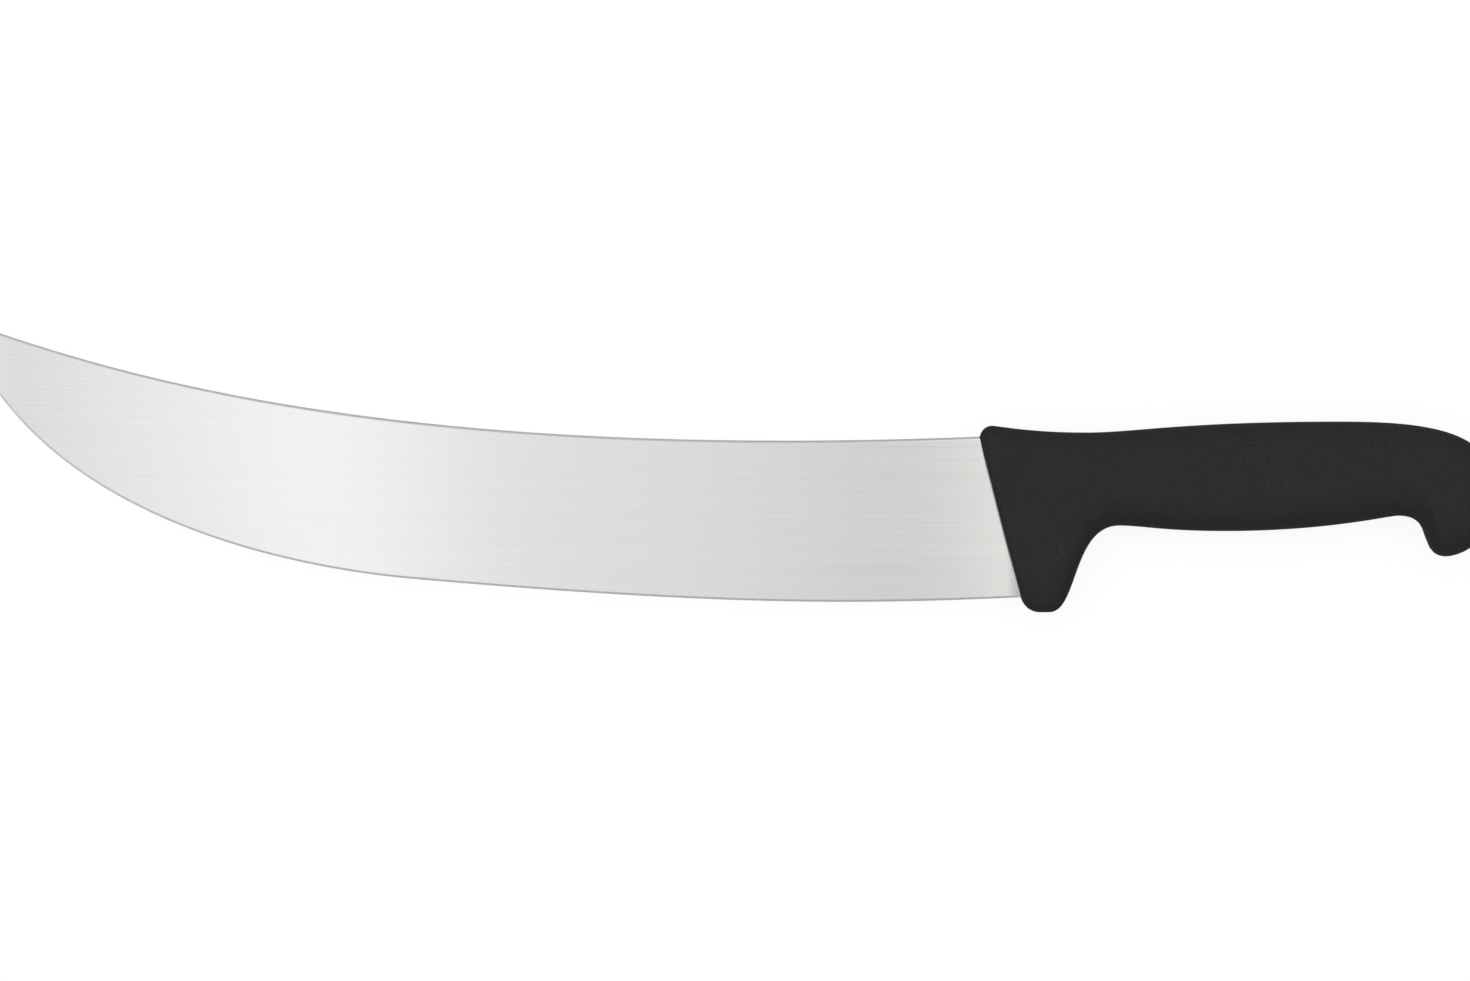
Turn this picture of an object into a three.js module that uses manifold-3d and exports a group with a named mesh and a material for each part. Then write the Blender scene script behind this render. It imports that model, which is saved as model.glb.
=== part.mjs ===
// A butcher's knife with a long upswept blade and a two-shot moulded handle, in millimetres.
//
// The knife lies on its side. +X runs from the tip to the butt, +Y from the cutting edge to the spine
// and +Z is the thickness. Its shapes are drawn round the point where the spine enters the handle,
// with the blade's middle plane at Z = 0, and the finished knife is then set down on the ground plane.
import * as THREE from 'three';
import { mergeVertices, toCreasedNormals } from 'three/addons/utils/BufferGeometryUtils.js';
import Module from 'manifold-3d';

const { degToRad, lerp, mapLinear, smoothstep } = THREE.MathUtils;
const wasm = await Module();
wasm.setup();

// Blade: sizes, with heights from the point where the spine enters the handle
const BLADE_LENGTH = 297.7; // tip to handle, straight along X
const TIP_RISE = 34.2;
const BELLY_DROP = 41.5; // cutting edge where the upsweep begins
const HEEL_HEIGHT = 46.9; // cutting edge at the handle
const SPINE_THICKNESS = 2.6; // at the handle
const TIP_THICKNESS = 0.9; // the spine tapers to this at the tip
const EDGE_THICKNESS = 0.45; // across the top of the sharpened bevel
const EDGE_FLAT = 0.05; // across the cutting edge itself
const BEVEL_HEIGHT = 0.9; // sharpened bevel along the cutting edge
const SPINE_CHAMFER = 0.3; // broken corners of the spine

// Blade: slopes of its long curves, and how far along its run each curve holds to its end slopes
const SPINE_TIP_SLOPE = 0.341;
const SPINE_HEEL_SLOPE = 0.04;
const SPINE_CURVE = { leave: 0.127, arrive: 0.613 };
const BELLY_SHARE = 0.557; // where the upsweep begins, from the handle to the tip
const BELLY_SLOPE = 0.088;
const UPSWEEP_LEAVE = { along: 0.16, down: 0.789 };
const UPSWEEP_ARRIVE = 0.231;
const HEEL_SLOPE = 0.047;
const HEEL_CURVE = { leave: 0.506, arrive: 0.263 };

// Tang: the steel that the handle hides
const BLADE_EMBED = 7; // full-height steel behind the handle's front face
const TANG_WALL = 3.2; // least core above and below the tang
const TANG_END_WALL = 38; // handle left without steel at the butt
const TANG_FILLET = 3;
const TANG_HOLE_DIAMETER = 7;
const TANG_HOLE_COUNT = 3;
const TANG_OVERLAP = 2; // how far the tang's blank runs on inside the blade

// Handle: side view, with heights as for the blade and places from the front face or the butt
const HANDLE_LENGTH = 151;
const FACE_LEAN_DEGREES = 14.6; // the front face leans back towards the guard
const CREST_RISE = 3.2; // top front corner
const CREST_RADIUS = 3.6;
const SADDLE_AT = 31.3; // low point of the back
const SADDLE_RISE = 1.2;
const BACK_FROM_BUTT = 46; // high point of the back
const BACK_RISE = 4.4;
const BUTT_DROP = 16.5; // rearmost point
const GUARD_OVERHANG = 4.4; // finger guard below the heel of the cutting edge
const GUARD_RADIUS = 5.6; // lower front corner
const GUARD_REACH = 7.2; // guard's lowest point, behind the front face
const GROOVE_AT = 40.5; // forefinger groove
const GROOVE_DROP = 26;
const PALM_AT = 72; // palm swell
const PALM_DROP = 27.6;
const NECK_FROM_BUTT = 28.7; // hollow in front of the hooked butt
const NECK_DROP = 23.1;
const HOOK_FROM_BUTT = 14.7;
const HOOK_DROP = 35;

// Handle: how far along its run each curve of the side view holds to its level or upright ends
const CREST_TO_SADDLE = { leave: 0.05, arrive: 0.6 };
const SADDLE_TO_BACK = { leave: 0.19, arrive: 0.62 };
const BACK_TO_BUTT = { leave: 0.55, arrive: 0.9 };
const GUARD_TO_GROOVE = { leave: 0.41, arrive: 0.68 };
const GROOVE_TO_PALM = { leave: 0.22, arrive: 0.6 };
const PALM_TO_NECK = { leave: 0.59, arrive: 0.05 };
const NECK_TO_HOOK = { leave: 0.84, arrive: 0.6 };
const HOOK_TO_BUTT = { leave: 0.26, arrive: 0.78 };

// Handle: seen from above, and its sections
const FACE_WIDTH = 14.4;
const FACE_ROUND = 1.6; // rounded rim of the front face
const PALM_WIDTH = 20.5;
const PALM_FLAT_FROM = 58; // the sides are flat and parallel from here
const PALM_FLAT_FROM_BUTT = 48; // to here
const NECK_WIDTH = 19.4;
const HOOK_WIDTH = 20.2;
const EVEN_CURVE = { leave: 0.5, arrive: 0.5 };
const TOP_ROUNDING = 10; // heights of the rounded zones of a section
const GRIP_ROUNDING = 10.5;
const GUARD_ROUNDING = 14;
const MOST_ROUNDING = 0.475; // of a section's height, so that a flat is left on its sides
const SKIN_THICKNESS = 2.4; // soft outer skin over the hard core

// Fit and fineness
const FIT_GAP = 0.3; // between pieces that are moulded round each other
const END_MARGIN = 0.02; // sections stop this far short of a rounded end
const BLADE_STATIONS = 56;
const TIP_CROWDING = 1.5; // power that draws the blade's stations together towards the tip
const CURVE_STEPS = 24;
const HOLE_STEPS = 12;
const SKIN_DETAIL = { front: 7, middle: 56, rear: 9, arc: 6 };
const CORE_DETAIL = { front: 4, middle: 32, rear: 6, arc: 4 };
const CREASE_ANGLE = degToRad(30);

// Places that follow from those sizes
const FACE_LEAN = degToRad(FACE_LEAN_DEGREES);
const GUARD_DROP = HEEL_HEIGHT + GUARD_OVERHANG;
const FRONT_ZONE_END = SKIN_THICKNESS + GUARD_RADIUS; // behind the corners of the front face
const PALM_FLAT_TO = HANDLE_LENGTH - PALM_FLAT_FROM_BUTT;
const BACK_AT = HANDLE_LENGTH - BACK_FROM_BUTT;
const NECK_AT = HANDLE_LENGTH - NECK_FROM_BUTT;
const HOOK_AT = HANDLE_LENGTH - HOOK_FROM_BUTT;
const TANG_END = HANDLE_LENGTH - TANG_END_WALL;
const TANG_HEIGHT = SADDLE_RISE + GROOVE_DROP - 2 * (SKIN_THICKNESS + TANG_WALL);
const TANG_MIDDLE = (SADDLE_RISE - GROOVE_DROP) / 2;

const RIGHT_ANGLE = Math.PI / 2;
const point = (x, y) => new THREE.Vector2(x, y);
const faceX = (y) => -Math.tan(FACE_LEAN) * y;

// Turns a closed geometry into a solid that can be joined and cut.
function solidOf(geometry) {
  const bare = geometry.clone();
  bare.deleteAttribute('normal');
  bare.deleteAttribute('uv');
  const merged = mergeVertices(bare);
  return new wasm.Manifold(new wasm.Mesh({
    numProp: 3,
    vertProperties: new Float32Array(merged.attributes.position.array),
    triVerts: new Uint32Array(merged.index.array),
  }));
}

// Turns a solid into a named mesh, smooth but for the edges where its faces meet at an angle.
function meshOf(solid, name, material) {
  const { vertProperties, triVerts } = solid.getMesh();
  const geometry = new THREE.BufferGeometry();
  geometry.setAttribute('position', new THREE.BufferAttribute(vertProperties, 3));
  geometry.setIndex(new THREE.BufferAttribute(triVerts, 1));
  const mesh = new THREE.Mesh(toCreasedNormals(geometry, CREASE_ANGLE), material);
  mesh.name = name;
  return mesh;
}

function middleOf(ring) {
  const sum = new THREE.Vector3();
  ring.forEach((corner) => sum.add(corner));
  return sum.divideScalar(ring.length);
}

// Skins a row of rings into a closed solid. Each ring starts at its lowest corner and climbs its
// +Z side first. Both ends of the row close on a point.
function loft(rings, startPoint, endPoint) {
  const count = rings[0].length;
  const corners = [...rings.flat(), startPoint, endPoint];
  const start = corners.length - 2;
  const end = corners.length - 1;
  const lastRing = (rings.length - 1) * count;
  const faces = [];
  for (let side = 0; side < count; side += 1) {
    const next = (side + 1) % count;
    faces.push(start, side, next);
    faces.push(end, lastRing + next, lastRing + side);
    for (let ring = 0; ring < lastRing; ring += count) {
      faces.push(ring + side, ring + count + side, ring + count + next);
      faces.push(ring + side, ring + count + next, ring + next);
    }
  }
  const geometry = new THREE.BufferGeometry().setFromPoints(corners);
  geometry.setIndex(faces);
  return solidOf(geometry);
}

// Spine, from the tip to the handle: one long hollow curve.
function spineCurve() {
  const tip = point(-BLADE_LENGTH, TIP_RISE);
  const tipRun = SPINE_CURVE.leave * BLADE_LENGTH;
  const heelRun = SPINE_CURVE.arrive * BLADE_LENGTH;
  const leave = point(tip.x + tipRun, tip.y - SPINE_TIP_SLOPE * tipRun);
  const arrive = point(-heelRun, -SPINE_HEEL_SLOPE * heelRun);
  return new THREE.CubicBezierCurve(tip, leave, arrive, point(0, 0));
}

// Cutting edge, from the tip to the handle: a round upsweep and then a nearly straight run.
function edgeCurve() {
  const tip = point(-BLADE_LENGTH, TIP_RISE);
  const belly = point(-BELLY_SHARE * BLADE_LENGTH, -BELLY_DROP);
  const heel = point(faceX(-HEEL_HEIGHT), -HEEL_HEIGHT);
  const upsweepRun = belly.x - tip.x;
  const heelRun = heel.x - belly.x;
  const tipLeave = point(
    tip.x + UPSWEEP_LEAVE.along * upsweepRun,
    tip.y - UPSWEEP_LEAVE.down * (tip.y - belly.y),
  );
  const throughBelly = (run) => point(belly.x + run, belly.y - BELLY_SLOPE * run);
  const heelArrive = heel.clone().sub(point(1, HEEL_SLOPE).multiplyScalar(HEEL_CURVE.arrive * heelRun));
  const edge = new THREE.CurvePath();
  edge.add(new THREE.CubicBezierCurve(tip, tipLeave, throughBelly(-UPSWEEP_ARRIVE * upsweepRun), belly));
  edge.add(new THREE.CubicBezierCurve(belly, throughBelly(HEEL_CURVE.leave * heelRun), heelArrive, heel));
  return edge;
}

// One section of the blade: cutting edge, sharpened bevel, flat-ground flank and chamfered spine.
function bladeRing(spine, edge, share, grow) {
  const up = spine.clone().sub(edge).normalize();
  const foot = edge.clone().addScaledVector(up, -grow);
  const height = spine.distanceTo(edge) + 2 * grow;
  const spineHalf = lerp(TIP_THICKNESS, SPINE_THICKNESS, share) / 2 + grow;
  const chamfer = Math.min(SPINE_CHAMFER, spineHalf / 2, height / 4);
  const bevel = Math.min(BEVEL_HEIGHT, height / 2);
  const flank = [
    { rise: 0, half: EDGE_FLAT / 2 + grow },
    { rise: bevel, half: EDGE_THICKNESS / 2 + grow },
    { rise: height - chamfer, half: spineHalf },
    { rise: height, half: spineHalf - chamfer },
  ];
  const place = (rise, z) => new THREE.Vector3(foot.x + up.x * rise, foot.y + up.y * rise, z);
  const nearSide = flank.map(({ rise, half }) => place(rise, half));
  const farSide = flank.map(({ rise, half }) => place(rise, -half)).reverse();
  return [...nearSide, ...farSide];
}

// The ground blade, with its full-height root inside the handle. A grown copy is the slot for it.
function bladeForm(grow) {
  const spine = spineCurve();
  const edge = edgeCurve();
  const rings = [];
  for (let station = 1; station <= BLADE_STATIONS; station += 1) {
    const share = (station / BLADE_STATIONS) ** TIP_CROWDING;
    rings.push(bladeRing(spine.getPointAt(share), edge.getPointAt(share), share, grow));
  }
  const rootStep = new THREE.Vector3(BLADE_EMBED + grow, 0, 0);
  const root = rings.at(-1).map((corner) => corner.clone().add(rootStep));
  rings.push(root);
  const tip = new THREE.Vector3(-BLADE_LENGTH - grow, TIP_RISE, 0);
  return loft(rings, tip, middleOf(root));
}

// The tang's outline, filleted into the blade's shoulders, rounded at its end and pierced by holes.
function tangShape(grow) {
  const top = TANG_MIDDLE + TANG_HEIGHT / 2 + grow;
  const bottom = TANG_MIDDLE - TANG_HEIGHT / 2 - grow;
  const endRadius = (top - bottom) / 2;
  const above = top + TANG_FILLET;
  const below = bottom - TANG_FILLET;
  const shoulder = (y) => faceX(y) + BLADE_EMBED;
  const insideBlade = (y) => shoulder(y) - TANG_OVERLAP - grow;
  const behindBlade = (y) => shoulder(y) + grow;
  const shape = new THREE.Shape();
  shape.moveTo(insideBlade(above), above);
  shape.lineTo(behindBlade(above), above);
  shape.quadraticCurveTo(behindBlade(top), top, behindBlade(top) + TANG_FILLET, top);
  shape.absarc(TANG_END + grow - endRadius, TANG_MIDDLE, endRadius, RIGHT_ANGLE, -RIGHT_ANGLE, true);
  shape.lineTo(behindBlade(bottom) + TANG_FILLET, bottom);
  shape.quadraticCurveTo(behindBlade(bottom), bottom, behindBlade(below), below);
  shape.lineTo(insideBlade(below), below);
  for (let hole = 0; hole < TANG_HOLE_COUNT; hole += 1) {
    const x = lerp(shoulder(TANG_MIDDLE), TANG_END, (hole + 0.5) / TANG_HOLE_COUNT);
    const rim = new THREE.Path();
    rim.absarc(x, TANG_MIDDLE, TANG_HOLE_DIAMETER / 2 - grow, 0, 2 * Math.PI);
    shape.holes.push(rim);
  }
  return shape;
}

function tangForm(grow) {
  const depth = SPINE_THICKNESS + 2 * grow;
  const plate = new THREE.ExtrudeGeometry(tangShape(grow), {
    depth,
    bevelEnabled: false,
    curveSegments: HOLE_STEPS,
  });
  plate.translate(0, 0, -depth / 2);
  return solidOf(plate);
}

// Draws a curve that leaves and arrives level.
function levelCurve(path, x, y, hold) {
  const from = path.currentPoint;
  const run = x - from.x;
  path.bezierCurveTo(from.x + hold.leave * run, from.y, x - hold.arrive * run, y, x, y);
}

// Draws a curve that leaves level and arrives upright at the rearmost point of the butt.
function buttCurve(path, hold) {
  const from = path.currentPoint;
  const leaveX = lerp(from.x, HANDLE_LENGTH, hold.leave);
  const arriveY = lerp(-BUTT_DROP, from.y, hold.arrive);
  path.bezierCurveTo(leaveX, from.y, HANDLE_LENGTH, arriveY, HANDLE_LENGTH, -BUTT_DROP);
}

// Starts an outline with a corner arc between the leaning front face and a level line.
function faceCorner(levelY, radius, downwards) {
  const y = levelY + (downwards ? radius : -radius);
  const x = faceX(y) + radius / Math.cos(FACE_LEAN);
  const path = new THREE.Path();
  const levelAngle = downwards ? 3 * RIGHT_ANGLE : RIGHT_ANGLE;
  path.absarc(x, y, radius, Math.PI + FACE_LEAN, levelAngle, !downwards);
  return path;
}

// Back of the handle, from the front face over the crest and the saddle to the butt.
function backOutline() {
  const path = faceCorner(CREST_RISE, CREST_RADIUS, false);
  levelCurve(path, SADDLE_AT, SADDLE_RISE, CREST_TO_SADDLE);
  levelCurve(path, BACK_AT, BACK_RISE, SADDLE_TO_BACK);
  buttCurve(path, BACK_TO_BUTT);
  return path.getPoints(CURVE_STEPS);
}

// Underside of the handle, from the front face round the guard, groove, palm and hook to the butt.
function undersideOutline() {
  const path = faceCorner(-GUARD_DROP, GUARD_RADIUS, true);
  path.lineTo(faceX(-GUARD_DROP) + GUARD_REACH, -GUARD_DROP);
  levelCurve(path, GROOVE_AT, -GROOVE_DROP, GUARD_TO_GROOVE);
  levelCurve(path, PALM_AT, -PALM_DROP, GROOVE_TO_PALM);
  levelCurve(path, NECK_AT, -NECK_DROP, PALM_TO_NECK);
  levelCurve(path, HOOK_AT, -HOOK_DROP, NECK_TO_HOOK);
  buttCurve(path, HOOK_TO_BUTT);
  return path.getPoints(CURVE_STEPS);
}

// Half of the handle's width, from the rounded rim of the front face to the rounded butt.
function planOutline() {
  const path = new THREE.Path();
  path.absarc(FACE_ROUND, FACE_WIDTH / 2 - FACE_ROUND, FACE_ROUND, Math.PI, RIGHT_ANGLE, true);
  levelCurve(path, PALM_FLAT_FROM, PALM_WIDTH / 2, EVEN_CURVE);
  path.lineTo(PALM_FLAT_TO, PALM_WIDTH / 2);
  levelCurve(path, NECK_AT, NECK_WIDTH / 2, EVEN_CURVE);
  levelCurve(path, HOOK_AT, HOOK_WIDTH / 2, EVEN_CURVE);
  path.absellipse(HOOK_AT, 0, HOOK_FROM_BUTT, HOOK_WIDTH / 2, RIGHT_ANGLE, 0, true);
  return path.getPoints(CURVE_STEPS);
}

// Moves an outline sideways, to the left of its run for a positive distance.
function offsetOutline(outline, distance) {
  return outline.map((corner, place) => {
    const before = outline[Math.max(place - 1, 0)];
    const after = outline[Math.min(place + 1, outline.length - 1)];
    const along = after.clone().sub(before).normalize();
    return point(corner.x - distance * along.y, corner.y + distance * along.x);
  });
}

// Height at which a station's section plane, with its lean, meets an outline.
function heightAt(outline, station, lean) {
  const ahead = (corner) => corner.x + lean * corner.y - station;
  const after = outline.findIndex((corner) => ahead(corner) > 0);
  const near = outline[after - 1];
  const far = outline[after];
  return mapLinear(0, ahead(near), ahead(far), near.y, far.y);
}

// Stations from the front face to the butt, closer together round both ends. Between the ends they
// are the same for every inset, so that forms which fit into each other keep an even gap.
function stationsAlong(start, end, detail) {
  const shares = (count) => Array.from({ length: count }, (_, step) => step / count);
  const rise = (share) => 1 - Math.cos(share * RIGHT_ANGLE);
  const settle = (share) => Math.sin(share * RIGHT_ANGLE);
  const front = shares(detail.front).map((share) => lerp(start, FRONT_ZONE_END, rise(share)));
  const middle = shares(detail.middle).map((share) => lerp(FRONT_ZONE_END, HOOK_AT, share));
  const rear = shares(detail.rear).map((share) => lerp(HOOK_AT, end, settle(share)));
  return [...front, ...middle, ...rear, end];
}

// One section of the handle: flat sides that close in a rounded top and a rounded underside.
function handleRing(section, arcSteps, place) {
  const { top, bottom, half, topRound, bottomRound } = section;
  const turns = Array.from({ length: arcSteps + 1 }, (_, step) => (step / arcSteps) * RIGHT_ANGLE);
  const underside = turns.map((turn) => [bottom + bottomRound * (1 - Math.cos(turn)), half * Math.sin(turn)]);
  const back = turns.map((turn) => [top - topRound * (1 - Math.sin(turn)), half * Math.cos(turn)]);
  const nearSide = [...underside, ...back];
  const farSide = nearSide.slice(1, -1).reverse().map(([y, z]) => [y, -z]);
  return [...nearSide, ...farSide].map(([y, z]) => place(y, z));
}

// The handle's whole form, drawn in from its surface by an inset.
function handleForm(inset, detail) {
  const back = offsetOutline(backOutline(), -inset);
  const underside = offsetOutline(undersideOutline(), inset);
  const plan = offsetOutline(planOutline(), -inset);
  const start = inset / Math.cos(FACE_LEAN) + END_MARGIN;
  const end = HANDLE_LENGTH - inset - END_MARGIN;
  const rings = stationsAlong(start, end, detail).map((station) => {
    const upright = smoothstep(station, FRONT_ZONE_END, PALM_FLAT_FROM);
    const lean = (1 - upright) * Math.tan(FACE_LEAN);
    const top = heightAt(back, station, lean);
    const bottom = heightAt(underside, station, lean);
    const half = heightAt(plan, station, 0);
    const mostRound = MOST_ROUNDING * (top - bottom);
    const toGroove = smoothstep(station, GUARD_REACH, GROOVE_AT);
    const topRound = Math.min(TOP_ROUNDING - inset, mostRound);
    const bottomRound = Math.min(lerp(GUARD_ROUNDING, GRIP_ROUNDING, toGroove) - inset, mostRound);
    const place = (y, z) => new THREE.Vector3(station - lean * y, y, z);
    return handleRing({ top, bottom, half, topRound, bottomRound }, detail.arc, place);
  });
  return loft(rings, middleOf(rings[0]), middleOf(rings.at(-1)));
}

const brushedSteel = new THREE.MeshStandardMaterial({ color: 0xd8d7d4, roughness: 0.32, metalness: 1 });
const hardPolymer = new THREE.MeshStandardMaterial({ color: 0x44464a, roughness: 0.55, metalness: 0 });
const softBlack = new THREE.MeshStandardMaterial({ color: 0x2f2f2f, roughness: 0.8, metalness: 0 });

// One steel blank: the blade and its tang.
function makeBlade() {
  return meshOf(bladeForm(0).add(tangForm(0)), 'blade', brushedSteel);
}

// Hard core, moulded round the tang and through its holes.
function makeCore(steelSlot) {
  const core = handleForm(SKIN_THICKNESS, CORE_DETAIL).subtract(steelSlot);
  return meshOf(core, 'handle_core', hardPolymer);
}

// Soft skin, moulded over the core, with a slot where the blade comes out of the front face.
function makeGrip(steelSlot) {
  const coreRoom = handleForm(SKIN_THICKNESS - FIT_GAP, CORE_DETAIL);
  const skin = handleForm(0, SKIN_DETAIL).subtract(coreRoom).subtract(steelSlot);
  return meshOf(skin, 'handle_grip', softBlack);
}

// Sets the knife down on its side, with its box centred over the origin.
function layDown(group) {
  const box = new THREE.Box3().setFromObject(group);
  const middle = box.getCenter(new THREE.Vector3());
  group.position.set(-middle.x, -middle.y, -box.min.z);
}

const steelSlot = bladeForm(FIT_GAP).add(tangForm(FIT_GAP));
const handle = new THREE.Group();
handle.add(makeCore(steelSlot), makeGrip(steelSlot));
const lyingKnife = new THREE.Group();
lyingKnife.add(makeBlade(), handle);
layDown(lyingKnife);
const knife = new THREE.Group();
knife.add(lyingKnife);

export default knife;
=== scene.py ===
# %% [markdown]
# # A butcher's knife, lying on its side
# The knife has three pieces: a stainless steel blade with its tang, a hard core moulded round the tang,
# and a soft black skin moulded over the core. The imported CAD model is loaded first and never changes.
# It says where everything is, and each piece with a finer surface is built in the place of its node.

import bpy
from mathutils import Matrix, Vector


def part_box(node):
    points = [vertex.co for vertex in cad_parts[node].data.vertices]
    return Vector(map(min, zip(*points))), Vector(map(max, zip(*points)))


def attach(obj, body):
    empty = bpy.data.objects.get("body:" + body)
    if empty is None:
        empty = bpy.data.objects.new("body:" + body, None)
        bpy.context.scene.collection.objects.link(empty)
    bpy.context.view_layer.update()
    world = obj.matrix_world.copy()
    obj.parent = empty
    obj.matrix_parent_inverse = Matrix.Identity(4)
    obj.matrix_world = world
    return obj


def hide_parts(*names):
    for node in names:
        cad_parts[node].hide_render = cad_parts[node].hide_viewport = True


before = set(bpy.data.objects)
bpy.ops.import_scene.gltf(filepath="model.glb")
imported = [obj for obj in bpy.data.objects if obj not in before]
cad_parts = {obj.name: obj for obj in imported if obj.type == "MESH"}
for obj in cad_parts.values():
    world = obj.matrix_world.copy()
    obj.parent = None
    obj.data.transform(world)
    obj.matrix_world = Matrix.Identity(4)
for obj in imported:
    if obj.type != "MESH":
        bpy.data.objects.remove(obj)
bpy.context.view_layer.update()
print("CAD nodes:", sorted(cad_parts))

# %% [markdown]
# ## One point to measure from
# A knife is easiest to draw from the point where its spine runs into the handle: X to the butt, Y to
# the spine, in millimetres. Blender works in metres, so one small function turns a point of the drawing
# into a point of the scene. The blade's CAD node says where the drawing lies.

# %% Where the spine enters the handle
import bpy
from mathutils import Vector

MM = 0.001
BLADE_LENGTH = 297.7
TIP_RISE = 34.2

blade_low, blade_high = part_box("blade")
spine_entry = Vector((
    blade_low.x + BLADE_LENGTH * MM,
    blade_high.y - TIP_RISE * MM,
    (blade_low.z + blade_high.z) / 2,
))


def place(x, y, z=0.0):
    """A point of the drawing, in millimetres, as a point of the scene."""
    return spine_entry + Vector((x, y, z)) * MM


print("The spine enters the handle at", [round(value, 5) for value in spine_entry])

# %% [markdown]
# ## The camera
# The photograph looks square at the side of the knife, so the camera hangs straight above it with a long
# lens. The photograph's scale on the blade's middle plane, and the pixel where the spine enters the
# handle, give its place: the tip and the butt run out of the picture, as they do in the photograph.

# %% Camera straight above the knife
IMAGE_WIDTH = 1470
IMAGE_HEIGHT = 981
PIXEL = 0.292  # millimetres on the blade's middle plane
ENTRY_COLUMN = 979.1
ENTRY_ROW = 436.6
CAMERA_DISTANCE = 1100.0
SENSOR_WIDTH = 36.0

aim = place((IMAGE_WIDTH / 2 - ENTRY_COLUMN) * PIXEL, (ENTRY_ROW - IMAGE_HEIGHT / 2) * PIXEL)
camera_data = bpy.data.cameras.new("side_camera")
camera_data.sensor_width = SENSOR_WIDTH
camera_data.lens = SENSOR_WIDTH * CAMERA_DISTANCE / (IMAGE_WIDTH * PIXEL)
camera = bpy.data.objects.new("side_camera", camera_data)
camera.location = aim + Vector((0, 0, CAMERA_DISTANCE * MM))

scene = bpy.context.scene
scene.collection.objects.link(camera)
scene.camera = camera
scene.view_settings.view_transform = "Standard"
print("Lens:", round(camera_data.lens, 1), "mm")

# %% [markdown]
# ## Helpers for nodes
# Every finish below, and the light, is a small tree of nodes. Writing each node and link by hand hides
# what the tree does, so one helper adds a node and fills its inputs, and two more, built on it, add a sum
# and a colour ramp. The others give a plain colour and an empty tree to start from.


# %% Nodes, sums and ramps
def add_node(tree, kind, inputs=None, **settings):
    """Adds a node, sets its settings, and fills each input with a value or a link."""
    made = tree.nodes.new(kind)
    for name, value in settings.items():
        setattr(made, name, value)
    for name, value in (inputs or {}).items():
        if isinstance(value, bpy.types.NodeSocket):
            tree.links.new(value, made.inputs[name])
        else:
            made.inputs[name].default_value = value
    return made


def add_math(tree, operation, *values):
    """A sum of numbers or sockets, as the socket of its result."""
    return add_node(tree, "ShaderNodeMath", dict(enumerate(values)), operation=operation).outputs[0]


def add_ramp(tree, value, stops):
    """A colour ramp through (position, colour) stops, as the socket of its colour."""
    made = add_node(tree, "ShaderNodeValToRGB", {"Fac": value})
    elements = made.color_ramp.elements
    elements[0].position, elements[0].color = stops[0]
    elements[1].position, elements[1].color = stops[-1]
    for position, colour in stops[1:-1]:
        elements.new(position).color = colour
    return made.outputs["Color"]


def grey(level, warmth=0.0):
    """A neutral colour, or one that leans a little to red and away from blue."""
    return (level * (1 + warmth), level, level * (1 - warmth), 1.0)


def empty_tree(owner):
    """A material's or a world's node tree, with nothing in it."""
    owner.use_nodes = True
    owner.node_tree.nodes.clear()
    return owner.node_tree


def new_material(name):
    """A material and its empty tree."""
    material = bpy.data.materials.new(name)
    return material, empty_tree(material)


print("Node helpers ready")

# %% [markdown]
# ## The light
# The steel is a mirror, so the light has to be worth reflecting. One soft dome lights the knife and is
# mirrored too. It dims from the zenith to the horizon. From left to right it has broad pale and dim
# panels, which lean a little and make the bands across the blade. And it is weaker on the cutting edge's
# side than on the spine's, which leaves the underside of the handle dark.

# %% A soft studio dome
DOME_STRENGTH = 2.51
RAMP_MIDDLE = 0.5
PANEL_SPREAD = 2.0  # stretches the middle of the dome over the ramp of the panels
DEPTH_SPREAD = 0.5  # fits the whole dome onto the ramp of its depth
BAND_LEAN = 0.18  # how far the panels, and the bands on the blade, run sideways for their height
WARM_SIDE = 0.02  # the light from the handle's side is a little warmer


def centred(tree, share, spread):
    """Puts a direction's share, which is 0 in the middle of the dome, onto the middle of a ramp."""
    return add_math(tree, "MULTIPLY_ADD", share, spread, RAMP_MIDDLE)


def dome_height(tree, up):
    """Brightness from the horizon up to the zenith."""
    return add_ramp(tree, up, [
        (0.0, grey(0.30)),
        (0.40, grey(0.36)),
        (0.75, grey(0.64)),
        (0.95, grey(0.86)),
        (1.0, grey(0.92)),
    ])


def dome_panels(tree, across):
    """Brightness from left to right, over the part of the dome that the blade reflects."""
    return add_ramp(tree, centred(tree, across, PANEL_SPREAD), [
        (0.0, grey(0.79)),  # pale left side of the room
        (0.06, grey(0.36)),  # dim gap beyond the tip
        (0.13, grey(0.575)),
        (0.195, grey(0.58)),  # even light on the upsweep
        (0.267, grey(0.755)),  # pale panel that makes the bright band
        (0.34, grey(0.508)),
        (0.45, grey(0.515)),  # even light on the middle of the blade
        (0.49, grey(0.478, WARM_SIDE)),
        (0.525, grey(0.50, WARM_SIDE)),
        (0.57, grey(0.305, WARM_SIDE)),  # dim gap before the handle
        (0.62, grey(0.475, WARM_SIDE)),
        (0.74, grey(1.00, WARM_SIDE)),  # bright panel over the handle
        (1.0, grey(0.40, WARM_SIDE)),  # dim right side of the room
    ])


def dome_depth(tree, along):
    """Brightness from the cutting edge's side to the spine's side."""
    return add_ramp(tree, centred(tree, along, DEPTH_SPREAD), [
        (0.0, grey(0.45)),
        (0.30, grey(0.62)),
        (0.42, grey(1.00)),
        (0.60, grey(1.00)),
        (0.75, grey(1.30)),
        (1.0, grey(1.15)),
    ])


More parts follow.
